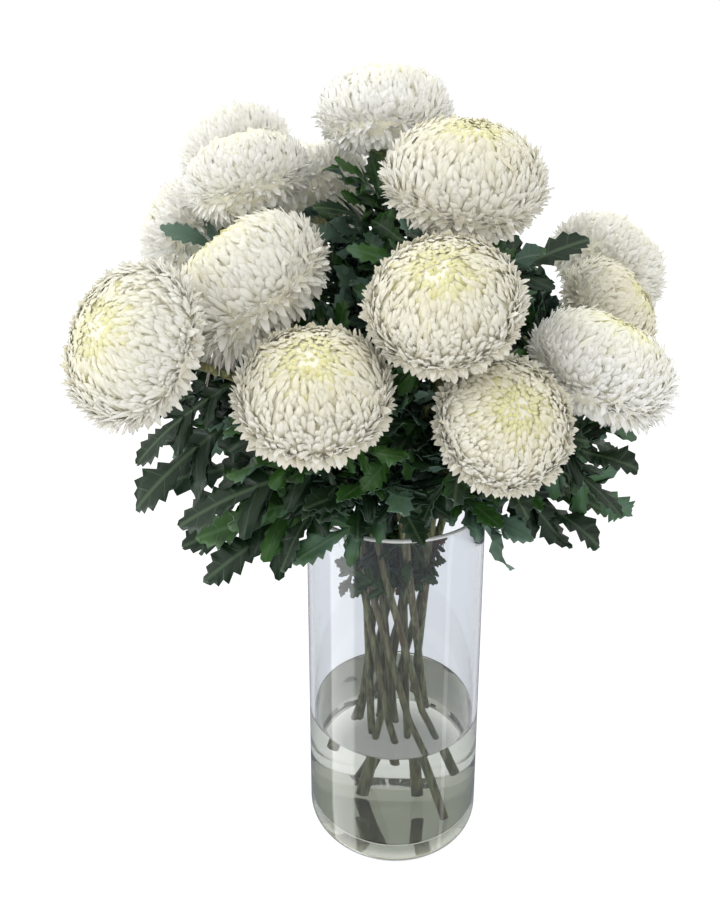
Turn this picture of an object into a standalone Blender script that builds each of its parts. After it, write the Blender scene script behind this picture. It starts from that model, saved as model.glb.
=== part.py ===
"""White ball chrysanthemums standing in a clear glass cylinder vase of water.

Lengths are in millimetres up to to_object, which writes metres. The vase's axis is the z axis and its
underside lies on z = 0. Each flower has three pieces: the white head, the pale young florets nested in
its crown, and the leafy stem that carries both.
"""

import math

import bpy
from mathutils import Matrix, Vector
from mathutils.bvhtree import BVHTree

TO_METRES = 0.001
GAP = 0.3  # left between pieces that touch

# Vase: a straight cylinder with a thick base, a rounded heel and a fire-polished rim
VASE_RADIUS = 75.0
VASE_HEIGHT = 302.0
WALL = 4.0
BASE = 16.0
HEEL = 8.0
INNER_HEEL = 5.0
VASE_SIDES = 48
WATER_LEVEL = 104.0
WATER_SIDES = 32

# Stems: straight and twisted like a sheaf inside the vase, then bowed outwards to their heads
STEM_RADIUS = 3.3
STEM_SIDES = 6
WAIST_Z = 165.0
STRAIGHT_TO = 316.0
OUTER_WAIST, OUTER_SPREAD = 23.0, 0.27
INNER_WAIST, INNER_SPREAD = 9.5, 0.13
BOW_STEPS = 8
# Most stems end in the water above the vase's floor. These are the heights of their feet.
FEET = {"01": 82, "03": 92, "04": 46, "06": 88, "07": 84, "08": 78, "09": 90, "11": 62, "12": 90, "14": 86}

# Heads: diamond cells between sunken creases, each cell raised into one overhanging floret
FLORETS_AROUND = 14
FLORET_RINGS = 9
FLORET_DEPTH = 0.14  # of the head's radius
RISE, FALL = 0.74, 0.62  # height of the crown and of the underside, of the head's radius
FLATTER = {"05": 0.82}  # heads that are flatter than that, as a share of both
SEAT_ANGLE, CROWN_ANGLE = -66.0, 70.0
HEART_AROUND, HEART_RINGS = 7, 4
HEART_RISE = 0.50

# Leaves: the outline of one half, from the leaf's base to its tip, as fractions of its length
HALF_LEAF = [(0.17, 0.026), (0.34, 0.225), (0.41, 0.072), (0.60, 0.245), (0.65, 0.075), (0.84, 0.130)]
MIDRIB = [0.36, 0.58, 0.78]
LEAF_THICKNESS = 1.0
LEAF_BEND = 0.75  # radians from base to tip
LEAF_LENGTHS = (56.0, 134.0)
LEAF_FACING = 0.8  # how much a blade turns its upper face from the sky to the front or the back
GOLDEN_ANGLE = 137.5

# Heads: centre, facing axis, diameter, and the place of the stem in the sheaf: ring and turn in degrees
HEADS = {
    "01": ((-59, -140, 439), (-0.04, -0.50, 0.86), 105, "outer", -88),
    "02": ((23, -130, 495), (-0.17, -0.62, 0.77), 104, "inner", -80),
    "03": ((62, -136, 418), (0.14, -0.79, 0.60), 94, "outer", -52),
    "04": ((-107, -57, 494), (-0.60, -0.04, 0.76), 126, "outer", -124),
    "05": ((-170, -141, 473), (-0.60, -0.66, 0.46), 109, "outer", -160),
    "06": ((-117, 17, 564), (-0.26, 0.12, 0.94), 102, "inner", 165),
    "07": ((-145, 147, 581), (-0.40, 0.31, 0.86), 106, "outer", 128),
    "08": ((-178, 80, 518), (-0.86, 0.19, 0.47), 101, "outer", 164),
    "09": ((-10, 57, 613), (0.02, 0.09, 1.00), 112, "inner", 100),
    "10": ((43, -49, 566), (0.10, -0.30, 0.95), 119, "inner", 10),
    "11": ((195, 109, 482), (0.66, 0.28, 0.69), 112, "outer", 56),
    "12": ((170, 16, 458), (0.76, -0.33, 0.55), 96, "outer", 20),
    "13": ((138, -81, 439), (0.41, -0.07, 0.91), 108, "outer", -16),
    "14": ((-64, 112, 548), (-0.03, 0.66, 0.75), 101, "outer", 92),
}

# Where leaf tips reach, by stem: the leaves above the rim, then those in the neck of the vase
LEAF_TIPS = {
    "05": [(-205, -75, 320), (-190, -85, 368), (-175, -60, 285), (-132, -85, 411)],
    "04": [(-157, -62, 277), (-115, -100, 345), (-145, -40, 345), (-50, -70, 460)],
    "01": [(-142, -95, 293), (-80, -95, 295), (-45, -130, 360), (-75, -120, 370)],
    "08": [(-175, -15, 275), (-195, 20, 515), (-120, 0, 325), (-195, -10, 340)],
    "03": [(96, -95, 313), (70, -110, 330), (35, -115, 350), (20, -100, 320)],
    "02": [(0, -120, 380), (-20, -110, 420), (-15, -105, 335), (-35, -85, 455)],
    "13": [(161, -60, 389), (173, -70, 344), (145, -40, 375), (110, -100, 345)],
    "12": [(175, -20, 315), (160, -40, 275), (130, -10, 365), (110, -20, 475)],
    "11": [(180, 20, 270), (185, -10, 290), (105, 10, 495)],
    "09": [(-65, -20, 545), (-50, 10, 580), (0, 15, 580), (60, 65, 600)],
    "10": [(-40, -55, 520), (-5, -75, 540), (145, -10, 520), (110, 10, 540)],
    "06": [(-65, -50, 480), (-140, -15, 525), (-80, 20, 510)],
    "14": [(-40, 0, 480), (-45, 40, 515)],
}
NECK_LEAVES = {"04": [(-50, -32, 262)], "02": [(12, -56, 268)]}
FILLER_LEAVES = {"06": 3, "07": 4, "08": 3, "09": 4, "10": 3, "11": 3, "12": 3, "14": 4}
MOST_FILLERS = 2  # on each of the other stems


def clear_scene():
    for thing in list(bpy.data.objects):
        bpy.data.objects.remove(thing, do_unlink=True)


def material(name, colour, roughness, transmission=0.0, ior=1.45):
    made = bpy.data.materials.new(name)
    made.use_nodes = True
    shader = made.node_tree.nodes["Principled BSDF"]
    shader.inputs["Base Color"].default_value = (*colour, 1.0)
    shader.inputs["Roughness"].default_value = roughness
    shader.inputs["Metallic"].default_value = 0.0
    shader.inputs["Transmission Weight"].default_value = transmission
    shader.inputs["IOR"].default_value = ior
    made.diffuse_color = (*colour, 1.0)
    return made


def to_object(name, points, faces, made_of, smooth=False):
    mesh = bpy.data.meshes.new(name)
    mesh.from_pydata([Vector(p) * TO_METRES for p in points], [], faces)
    mesh.materials.append(made_of)
    mesh.polygons.foreach_set("use_smooth", [smooth] * len(mesh.polygons))
    mesh.update()
    made = bpy.data.objects.new(name, mesh)
    bpy.context.scene.collection.objects.link(made)
    return made


def tree_of(points, faces):
    return BVHTree.FromPolygons([Vector(p) for p in points], faces)


def lathe(profile, sides):
    """A closed body of revolution from a profile whose first and last points lie on the z axis."""
    points = [(0, 0, profile[0][1])]
    for radius, z in profile[1:-1]:
        for i in range(sides):
            turn = 2 * math.pi * i / sides
            points.append((radius * math.cos(turn), radius * math.sin(turn), z))
    points.append((0, 0, profile[-1][1]))
    last = len(points) - 1
    rows = len(profile) - 2
    faces = []
    for i in range(sides):
        j = (i + 1) % sides
        faces.append((0, 1 + j, 1 + i))
        for row in range(rows - 1):
            low, high = 1 + row * sides, 1 + (row + 1) * sides
            faces.append((low + i, low + j, high + j, high + i))
        faces.append((1 + (rows - 1) * sides + i, 1 + (rows - 1) * sides + j, last))
    return points, faces


def arc(centre, radius, start, end, steps):
    return [
        (
            centre[0] + radius * math.cos(math.radians(start + (end - start) * i / steps)),
            centre[1] + radius * math.sin(math.radians(start + (end - start) * i / steps)),
        )
        for i in range(steps + 1)
    ]


def vase_body():
    rim = WALL / 2
    inside = VASE_RADIUS - WALL
    profile = [(0, 0)]
    profile += arc((VASE_RADIUS - HEEL, HEEL), HEEL, -90, 0, 4)
    profile += arc((VASE_RADIUS - rim, VASE_HEIGHT - rim), rim, 0, 180, 4)
    profile += arc((inside - INNER_HEEL, BASE + INNER_HEEL), INNER_HEEL, 0, -90, 3)
    profile.append((0, BASE))
    return lathe(profile, VASE_SIDES)


def water_body():
    # The water's facets must stay inside the vase's, so its radius is taken across the vase's flats
    side = (VASE_RADIUS - WALL) * math.cos(math.pi / VASE_SIDES) - GAP
    profile = [(0, BASE + GAP)]
    profile += arc((side - INNER_HEEL, BASE + GAP + INNER_HEEL), INNER_HEEL, -90, 0, 3)
    profile += [(side, WATER_LEVEL), (0, WATER_LEVEL)]
    return lathe(profile, WATER_SIDES)


def sheaf_point(ring, turn, z):
    """Where a stem of the sheaf is at height z: the stems are straight lines that all twist one way."""
    waist, spread = (OUTER_WAIST, OUTER_SPREAD) if ring == "outer" else (INNER_WAIST, INNER_SPREAD)
    lean = spread * (z - WAIST_Z)
    # The turn given is the one at the height where the stems start to bow
    facing = math.radians(turn) + math.atan2(spread * (STRAIGHT_TO - WAIST_Z), waist)
    across = Vector((math.cos(facing), math.sin(facing), 0))
    along = Vector((math.sin(facing), -math.cos(facing), 0))
    return across * waist + along * lean + Vector((0, 0, z))


def heights_of(key):
    """Height of a head's crown and underside, of its radius."""
    share = FLATTER.get(key, 1.0)
    return RISE * share, FALL * share


def stem_path(key):
    centre, axis, diameter, ring, turn = HEADS[key]
    axis = Vector(axis).normalized()
    foot = sheaf_point(ring, turn, FEET.get(key, BASE + GAP))
    bend = sheaf_point(ring, turn, STRAIGHT_TO)
    top = Vector(centre) - axis * (heights_of(key)[1] * diameter / 2 + 5)
    reach = (top - bend).length
    first = bend + (bend - foot).normalized() * reach * 0.40
    second = top - axis * reach * 0.33
    path = [foot, sheaf_point(ring, turn, WAIST_Z)]
    for i in range(BOW_STEPS + 1):
        t = i / BOW_STEPS
        path.append(
            bend * (1 - t) ** 3 + first * 3 * t * (1 - t) ** 2
            + second * 3 * t * t * (1 - t) + top * t**3
        )
    return path, axis


def frames_along(path):
    """A direction and a side vector at each point, the side carried along so that the tube never twists."""
    directions = []
    for i in range(len(path)):
        before, after = path[max(i - 1, 0)], path[min(i + 1, len(path) - 1)]
        directions.append((after - before).normalized())
    side = directions[0].orthogonal().normalized()
    frames = []
    for direction in directions:
        side = (side - direction * side.dot(direction)).normalized()
        frames.append((direction, side))
    return frames


def ring_points(centre, direction, side, radius, sides):
    other = direction.cross(side)
    turns = [2 * math.pi * i / sides for i in range(sides)]
    return [centre + side * radius * math.cos(a) + other * radius * math.sin(a) for a in turns]


def loft(rings, start, end):
    """A closed tube through rings of equally many points, with a point at each end."""
    sides = len(rings[0])
    points = [start] + [p for ring in rings for p in ring] + [end]
    faces = []
    for i in range(sides):
        j = (i + 1) % sides
        faces.append((0, 1 + j, 1 + i))
        for row in range(len(rings) - 1):
            low, high = 1 + row * sides, 1 + (row + 1) * sides
            faces += [(low + i, low + j, high + j), (low + i, high + j, high + i)]
        last = 1 + (len(rings) - 1) * sides
        faces.append((last + i, last + j, len(points) - 1))
    return points, faces


def stem_tube(key):
    """The stem with the green cup under its head. The foot is cut level."""
    head = HEADS[key]
    path, axis = stem_path(key)
    frames = frames_along(path)
    rings = []
    for i, (centre, (direction, side)) in enumerate(zip(path, frames)):
        radius = STEM_RADIUS * (1.0 - 0.02 * i)
        ring = ring_points(centre, direction, side, radius, STEM_SIDES)
        if i == 0:
            ring = [p - direction * ((p.z - centre.z) / direction.z) for p in ring]
        rings.append(ring)
    seat, depth = seat_of(key)
    side = (frames[-1][1] - axis * frames[-1][1].dot(axis)).normalized()
    for radius, drop in ((0.55, -2.0), (0.84, depth * 0.10)):
        place = seat + axis * (drop - 0.6)
        rings.append(ring_points(place, axis, side, seat_radius(head) * radius, STEM_SIDES))
    return loft(rings, path[0], seat + axis * (depth - 0.6))


def seat_radius(head):
    return head[2] / 2 * (1 - FLORET_DEPTH) * math.cos(math.radians(SEAT_ANGLE)) ** 0.85


def seat_of(key):
    """The rim of the hollow under the head, and how deep the hollow is."""
    centre, axis, diameter = Vector(HEADS[key][0]), Vector(HEADS[key][1]).normalized(), HEADS[key][2]
    drop = head_surface(diameter / 2 * (1 - FLORET_DEPTH), SEAT_ANGLE, heights_of(key))[1]
    return centre + axis * drop, 6.0


def head_surface(radius, angle, heights):
    """Distance from the axis, and height, of a head of this radius at an angle above its equator."""
    a = math.radians(angle)
    tall = heights[0] if angle > 0 else heights[1]
    return radius * math.cos(a) ** 0.85, radius * tall * math.sin(a)


def floret_body(place, axis, radius, heights, angles, around, lean, depth, low_cap, high_cap):
    """A closed body of overlapping florets: rings of crease points at the given angles, a floret in each
    diamond between them, and a point on the axis at each end."""
    side = (Vector((1, 0, 0)) - axis * axis.x).normalized()
    other = axis.cross(side)

    def at(distance, height, turn):
        a = 2 * math.pi * turn / around
        return place + axis * height + side * distance * math.cos(a) + other * distance * math.sin(a)

    points, rings = [], []
    for k, angle in enumerate(angles):
        distance, height = head_surface(radius * (1 - depth), angle, heights)
        rings.append(len(points))
        points += [at(distance, height, j + 0.5 * (k % 2)) for j in range(around)]

    def crease(k, j):
        return rings[k] + j % around

    faces = []
    for k in range(1, len(angles) - 1):
        shift = k % 2
        for j in range(around):
            tip_angle = angles[k] + lean(angles[k]) * (angles[k + 1] - angles[k - 1]) / 2
            reach = 1.0 + 0.035 * math.sin(5.1 * k + 2.3 * j)
            distance, height = head_surface(radius * reach, tip_angle, heights)
            tip = len(points)
            points.append(at(distance, height, j + 0.5 + 0.5 * shift))
            left, right = crease(k, j), crease(k, j + 1)
            top, bottom = crease(k + 1, j + shift), crease(k - 1, j + shift)
            faces += [(bottom, right, tip), (right, top, tip), (top, left, tip), (left, bottom, tip)]
    last = len(angles) - 1
    low, high = len(points), len(points) + 1
    points += [place + axis * low_cap, place + axis * high_cap]
    for j in range(around):
        faces.append((crease(0, j), crease(0, j + 1), crease(1, j)))
        faces.append((low, crease(0, j + 1), crease(0, j)))
        faces.append((crease(last, j + 1), crease(last, j), crease(last - 1, j + last % 2)))
        faces.append((high, crease(last, j), crease(last, j + 1)))
    return points, faces


def head_body(key):
    centre, axis, radius = Vector(HEADS[key][0]), Vector(HEADS[key][1]).normalized(), HEADS[key][2] / 2
    heights = heights_of(key)
    step = (CROWN_ANGLE - SEAT_ANGLE) / (FLORET_RINGS - 1)
    angles = [SEAT_ANGLE + step * k for k in range(FLORET_RINGS)]
    seat_drop = head_surface(radius * (1 - FLORET_DEPTH), SEAT_ANGLE, heights)[1]
    crown = head_surface(radius * (1 - FLORET_DEPTH), CROWN_ANGLE, heights)[1]

    def lean(angle):
        return 0.55 if angle > -8 else -0.35

    return floret_body(
        centre, axis, radius, heights, angles, FLORETS_AROUND, lean, FLORET_DEPTH,
        seat_drop + 6.0, crown - 9.0,
    )


def heart_body(key):
    """Young florets in the crown: a small head whose pointed underside fits the hollow in the crown."""
    centre, axis, radius = Vector(HEADS[key][0]), Vector(HEADS[key][1]).normalized(), HEADS[key][2] / 2
    crown_distance, crown = head_surface(radius * (1 - FLORET_DEPTH), CROWN_ANGLE, heights_of(key))
    small = crown_distance * 0.93
    angles = [-12 + 26 * k for k in range(HEART_RINGS)]
    crease = small * 0.85
    drop = crease * FALL * math.sin(math.radians(12))
    # The hollow is a cone 9 mm deep. The ring that starts the heart hangs just inside it.
    wide = crease * math.cos(math.radians(12)) ** 0.85
    flats = crown_distance * math.cos(math.pi / FLORETS_AROUND)
    base = crown - 9.0 * (1 - wide / flats) + 0.5
    place = centre + axis * (base + drop)
    hollow = crown - 9.0 + 0.5 - (base + drop)
    return floret_body(
        place, axis, small, (HEART_RISE, FALL), angles, HEART_AROUND, lambda angle: 0.6, 0.15,
        hollow, small * HEART_RISE * 0.62,
    )


def leaf_frame(root, tip):
    """The leaf's starting direction and upper side, so that a leaf bent downwards ends at its tip."""
    chord = tip - root
    sky = Vector((0, -LEAF_FACING if tip.y < 30 else LEAF_FACING, 1)).normalized()
    upper = sky - chord.normalized() * chord.normalized().dot(sky)
    if upper.length < 0.2:
        upper = Vector((chord.y, -chord.x, 0.2))
    upper.normalize()
    across = upper.cross(chord).normalized()
    start = Matrix.Rotation(-LEAF_BEND / 2, 3, across) @ chord.normalized()
    length = chord.length * (LEAF_BEND / 2) / math.sin(LEAF_BEND / 2)
    return start, across, length


def leaf_body(root, tip, thickness=LEAF_THICKNESS, roll=0.0):
    """A lobed leaf on its stalk. Both faces have the same triangles, one thickness apart."""
    start, across, length = leaf_frame(root, tip)
    across = Matrix.Rotation(roll, 3, (tip - root).normalized()) @ across
    upper = start.cross(across).normalized()
    across = upper.cross(start).normalized()

    def at(x, y, side):
        a = LEAF_BEND * x
        along = length * math.sin(a) / LEAF_BEND
        drop = length * (1 - math.cos(a)) / LEAF_BEND
        fold = 0.20 * abs(y) * length - 0.9 * length * y * y
        bent = upper * math.cos(a) + start * math.sin(a)
        lift = bent * (fold + side * thickness / 2)
        return root + start * along - upper * drop + across * y * length + lift

    half = len(HALF_LEAF)
    flat = [(0.0, 0.022)] + HALF_LEAF + [(1.0, 0.0)]
    flat += [(x, -y) for x, y in reversed(HALF_LEAF)] + [(0.0, -0.022)]
    edge = len(flat)
    flat += [(x, 0.0) for x in MIDRIB]
    m1, m2, m3 = edge, edge + 1, edge + 2

    def mirror(i):
        return edge - 1 - i

    one_side = [(1, 2, m1), (2, 3, m1), (3, m2, m1), (3, 4, m2), (4, 5, m2), (5, m3, m2)]
    one_side += [(5, 6, m3), (6, half + 1, m3)]
    faces = [(c, b, a) for a, b, c in one_side]
    faces += [tuple(mirror(i) if i < edge else i for i in face) for face in one_side]
    faces += [(0, edge - 1, 1), (edge - 1, edge - 2, 1), (1, edge - 2, m1)]
    count = len(flat)
    points = [at(x, y, 1) for x, y in flat] + [at(x, y, -1) for x, y in flat]
    faces = [tuple(reversed(face)) for face in faces]
    whole = list(faces) + [tuple(i + count for i in reversed(face)) for face in faces]
    for i in range(edge):
        j = (i + 1) % edge
        whole += [(i, i + count, j + count), (i, j + count, j)]
    return points, whole


def turned(root, tip, yaw, pitch, shorten):
    chord = (tip - root) * shorten
    level = Vector((chord.y, -chord.x, 0))
    if level.length < 1e-6:
        level = Vector((1, 0, 0))
    chord = Matrix.Rotation(math.radians(pitch), 3, level.normalized()) @ chord
    return root + Matrix.Rotation(math.radians(yaw), 3, "Z") @ chord


def tries():
    """Turns to try for a leaf, the smallest first."""
    found = []
    for shorten in (1.0, 0.88, 0.76):
        for yaw in range(-56, 57, 8):
            for pitch in range(-48, 49, 8):
                for roll in (0.0, 0.5, -0.5):
                    cost = abs(yaw) + abs(pitch) + 90 * (1 - shorten) + 14 * abs(roll)
                    found.append((cost, yaw, pitch, shorten, roll))
    return [row[1:] for row in sorted(found)]


def leaf_root(path, tip, wanted, taken):
    """The place on the stem, above the vase's rim and clear of the roots already taken, from which a leaf
    of the wanted length reaches the tip."""
    best = None
    for i in range(2, len(path) - 2):
        for t in (0.0, 0.33, 0.67):
            place = path[i].lerp(path[i + 1], t)
            if place.z < STRAIGHT_TO - 4:
                continue
            # A leaf grows upwards and outwards, so a root below its tip is better
            cost = abs((tip - place).length - wanted) + 0.25 * max(0.0, place.z - tip.z)
            cost += sum(30.0 * max(0.0, 1.0 - (place - other).length / 16.0) for other in taken)
            if best is None or cost < best[0]:
                best = (cost, place)
    return best[1]


def wanted_leaves(key, path):
    """Root and tip of each leaf of a stem."""
    found = []
    for i, tip in enumerate(LEAF_TIPS.get(key, [])):
        tip = Vector(tip)
        taken = [root for root, _ in found]
        found.append((leaf_root(path, tip, 92.0 - 6.0 * (i % 3), taken), tip))
    for tip in NECK_LEAVES.get(key, []):
        found.append((path[1].lerp(path[2], 0.4), Vector(tip)))
    for i in range(FILLER_LEAVES.get(key, MOST_FILLERS)):
        at = 3 + i * (len(path) - 6) / 4.0
        low = int(at)
        root = path[low].lerp(path[low + 1], at - low)
        turn = math.radians(GOLDEN_ANGLE * i + 60.0 * int(key))
        out = Vector((math.cos(turn), math.sin(turn), 0.15))
        away = Vector((root.x, root.y, 0)).normalized()
        out = (out + away * 0.8).normalized()
        found.append((root, root + out * (92.0 - 5.0 * i)))
    return found


def limited(root, tip):
    low, high = LEAF_LENGTHS
    chord = tip - root
    return root + chord.normalized() * min(max(chord.length, low), high)


def place_leaves(keys, trees):
    """Every leaf, turned about its root as little as clears all else, by stem. Crowded leaves are left out."""
    placed = {key: [] for key in keys}
    turns = tries()
    left_out = 0
    for key in keys:
        path, _ = stem_path(key)
        for root, tip in wanted_leaves(key, path):
            tip = limited(root, tip)
            for yaw, pitch, shorten, roll in turns:
                end = turned(root, tip, yaw, pitch, shorten)
                probe = tree_of(*leaf_body(root, end, LEAF_THICKNESS + 1.4, roll))
                if any(owner != key and probe.overlap(tree) for owner, tree in trees):
                    continue
                trees.append(("leaf", tree_of(*leaf_body(root, end, LEAF_THICKNESS, roll))))
                placed[key].append((root, end, roll))
                break
            else:
                left_out += 1
    print("leaves left out:", left_out)
    return placed


def join(name, first, others):
    """One closed body from a stem and the leaves whose stalks run into it."""
    group = bpy.data.collections.new(name + "_leaves")
    bpy.context.scene.collection.children.link(group)
    for other in others:
        bpy.context.scene.collection.objects.unlink(other)
        group.objects.link(other)
    union = first.modifiers.new("leaves", "BOOLEAN")
    union.operation = "UNION"
    union.solver = "EXACT"
    union.operand_type = "COLLECTION"
    union.collection = group
    apply_modifiers(first)
    for other in others:
        bpy.data.objects.remove(other, do_unlink=True)
    bpy.data.collections.remove(group)


def apply_modifiers(thing):
    bpy.context.view_layer.update()
    graph = bpy.context.evaluated_depsgraph_get()
    mesh = bpy.data.meshes.new_from_object(thing.evaluated_get(graph))
    thing.modifiers.clear()
    thing.data = mesh


def cut_stem_holes(water, made_of):
    """Plain holes that the stems stand in. Those of the longest stems go through to the vase's floor."""
    points, faces = [], []
    for key in HEADS:
        path, _ = stem_path(key)
        foot = path[0]
        direction, side = frames_along(path)[0]
        low = foot - direction * (2 * GAP if key in FEET else BASE)
        high = foot + direction * (WATER_LEVEL + 10.0 - foot.z) / direction.z
        radius = STEM_RADIUS + GAP / math.cos(math.pi / STEM_SIDES)
        rings = [ring_points(p, direction, side, radius, STEM_SIDES) for p in (low, high)]
        rings[0] = [p - direction * ((p.z - low.z) / direction.z) for p in rings[0]]
        tube_points, tube_faces = loft(rings, low, high)
        start = len(points)
        points += tube_points
        faces += [tuple(start + i for i in face) for face in tube_faces]
    cutter = to_object("stem_holes", points, faces, made_of)
    cut = water.modifiers.new("holes", "BOOLEAN")
    cut.operation = "DIFFERENCE"
    cut.solver = "EXACT"
    cut.object = cutter
    apply_modifiers(water)
    bpy.data.objects.remove(cutter, do_unlink=True)


def main():
    clear_scene()
    glass = material("clear_glass", (0.95, 0.96, 0.98), 0.02, 1.0, 1.47)
    liquid = material("water", (0.93, 0.96, 0.95), 0.0, 1.0, 1.33)
    white = material("white_petals", (0.90, 0.89, 0.83), 0.65)
    cream = material("young_petals", (0.86, 0.84, 0.50), 0.65)
    green = material("stem_and_leaf", (0.055, 0.115, 0.045), 0.5)

    vase = vase_body()
    to_object("vase", *vase, glass, smooth=True)
    water = to_object("water", *water_body(), liquid, smooth=True)
    cut_stem_holes(water, liquid)

    trees = [("vase", tree_of(*vase))]
    tubes = {}
    for key in HEADS:
        white_head, heart = head_body(key), heart_body(key)
        tubes[key] = stem_tube(key)
        to_object("bloom_" + key, *white_head, white)
        to_object("heart_" + key, *heart, cream)
        trees += [("bloom", tree_of(*white_head)), ("heart", tree_of(*heart))]
        trees.append((key, tree_of(*tubes[key])))
    # Leaves at the front are placed first, so the crowded ones at the back give way
    order = sorted(HEADS, key=lambda key: (HEADS[key][0][1], key))
    placed = place_leaves(order, trees)
    for key in HEADS:
        stem = to_object("stem_" + key, *tubes[key], green)
        leaves = [
            to_object(f"leaf_{key}_{i}", *leaf_body(root, tip, roll=roll), green)
            for i, (root, tip, roll) in enumerate(placed[key])
        ]
        if leaves:
            join("stem_" + key, stem, leaves)


main()
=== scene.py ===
"""Looks for the vase of white ball chrysanthemums: petals, leaves, stems, glass and water."""

import math

import bmesh
import bpy
import numpy as np
from mathutils import Matrix, Vector
from mathutils.kdtree import KDTree


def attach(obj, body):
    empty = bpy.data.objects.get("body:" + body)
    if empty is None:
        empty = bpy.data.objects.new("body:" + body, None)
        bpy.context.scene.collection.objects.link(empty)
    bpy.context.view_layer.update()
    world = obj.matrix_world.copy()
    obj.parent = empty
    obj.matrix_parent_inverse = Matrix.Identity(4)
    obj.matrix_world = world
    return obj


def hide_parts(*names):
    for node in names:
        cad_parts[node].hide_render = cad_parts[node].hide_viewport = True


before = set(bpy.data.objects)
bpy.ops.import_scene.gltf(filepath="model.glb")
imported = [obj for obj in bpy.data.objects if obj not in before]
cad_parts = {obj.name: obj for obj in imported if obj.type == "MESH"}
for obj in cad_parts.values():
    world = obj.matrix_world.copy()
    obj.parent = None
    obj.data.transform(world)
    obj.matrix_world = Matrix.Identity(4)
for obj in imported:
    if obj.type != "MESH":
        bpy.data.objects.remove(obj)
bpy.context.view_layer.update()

TO_METRES = 0.001
TO_MM = 1000.0
BOUQUET_MIDDLE = Vector((0, 0, 0.45))  # metres, what the lights face

# Sizes in millimetres, the same as the CAD's
GAP = 0.3  # left between pieces that touch
VASE_RADIUS, VASE_HEIGHT, WALL, BASE, HEEL, INNER_HEEL = 75.0, 302.0, 4.0, 16.0, 8.0, 5.0
WATER_LEVEL = 104.0
STEM_RADIUS = 3.3
# The sheaf of stems: height of its waist, end of its straight part, then radius and lean of its two rings
WAIST_Z, STRAIGHT_TO = 165.0, 316.0
OUTER_WAIST, OUTER_SPREAD = 23.0, 0.27
INNER_WAIST, INNER_SPREAD = 9.5, 0.13
BOW_STEPS = 8
# Heights of the feet of the stems that end above the vase's floor
FEET = {"01": 82, "03": 92, "04": 46, "06": 88, "07": 84, "08": 78, "09": 90, "11": 62, "12": 90, "14": 86}
# Heads: height of the crown and of the underside, of the head's radius, and the angle of the seat
FLORET_DEPTH = 0.14
RISE, FALL = 0.74, 0.62
FLATTER = {"05": 0.82}
FULLNESS = 0.85  # how much fuller than round a head is
SEAT_ANGLE = -66.0
# Leaves: how far a blade bends from base to tip, in radians, and turns to the front or the back
LEAF_THICKNESS = 1.0
LEAF_BEND = 0.75
LEAF_LENGTHS = (56.0, 134.0)
LEAF_FACING = 0.8
GOLDEN_ANGLE = 137.5

# Heads: centre, facing axis, diameter, and the place of the stem in the sheaf: ring and turn in degrees
HEADS = {
    "01": ((-59, -140, 439), (-0.04, -0.50, 0.86), 105, "outer", -88),
    "02": ((23, -130, 495), (-0.17, -0.62, 0.77), 104, "inner", -80),
    "03": ((62, -136, 418), (0.14, -0.79, 0.60), 94, "outer", -52),
    "04": ((-107, -57, 494), (-0.60, -0.04, 0.76), 126, "outer", -124),
    "05": ((-170, -141, 473), (-0.60, -0.66, 0.46), 109, "outer", -160),
    "06": ((-117, 17, 564), (-0.26, 0.12, 0.94), 102, "inner", 165),
    "07": ((-145, 147, 581), (-0.40, 0.31, 0.86), 106, "outer", 128),
    "08": ((-178, 80, 518), (-0.86, 0.19, 0.47), 101, "outer", 164),
    "09": ((-10, 57, 613), (0.02, 0.09, 1.00), 112, "inner", 100),
    "10": ((43, -49, 566), (0.10, -0.30, 0.95), 119, "inner", 10),
    "11": ((195, 109, 482), (0.66, 0.28, 0.69), 112, "outer", 56),
    "12": ((170, 16, 458), (0.76, -0.33, 0.55), 96, "outer", 20),
    "13": ((138, -81, 439), (0.41, -0.07, 0.91), 108, "outer", -16),
    "14": ((-64, 112, 548), (-0.03, 0.66, 0.75), 101, "outer", 92),
}

# Where the CAD's leaf tips reach, by stem: the leaves above the rim, then those in the vase's neck
LEAF_TIPS = {
    "05": [(-205, -75, 320), (-190, -85, 368), (-175, -60, 285), (-132, -85, 411)],
    "04": [(-157, -62, 277), (-115, -100, 345), (-145, -40, 345), (-50, -70, 460)],
    "01": [(-142, -95, 293), (-80, -95, 295), (-45, -130, 360), (-75, -120, 370)],
    "08": [(-175, -15, 275), (-195, 20, 515), (-120, 0, 325), (-195, -10, 340)],
    "03": [(96, -95, 313), (70, -110, 330), (35, -115, 350), (20, -100, 320)],
    "02": [(0, -120, 380), (-20, -110, 420), (-15, -105, 335), (-35, -85, 455)],
    "13": [(161, -60, 389), (173, -70, 344), (145, -40, 375), (110, -100, 345)],
    "12": [(175, -20, 315), (160, -40, 275), (130, -10, 365), (110, -20, 475)],
    "11": [(180, 20, 270), (185, -10, 290), (105, 10, 495)],
    "09": [(-65, -20, 545), (-50, 10, 580), (0, 15, 580), (60, 65, 600)],
    "10": [(-40, -55, 520), (-5, -75, 540), (145, -10, 520), (110, 10, 540)],
    "06": [(-65, -50, 480), (-140, -15, 525), (-80, 20, 510)],
    "14": [(-40, 0, 480), (-45, 40, 515)],
}
NECK_LEAVES = {"04": [(-50, -32, 262)], "02": [(12, -56, 268)]}
FILLER_LEAVES = {"06": 3, "07": 4, "08": 3, "09": 4, "10": 3, "11": 3, "12": 3, "14": 4}
MOST_FILLERS = 2
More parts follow.
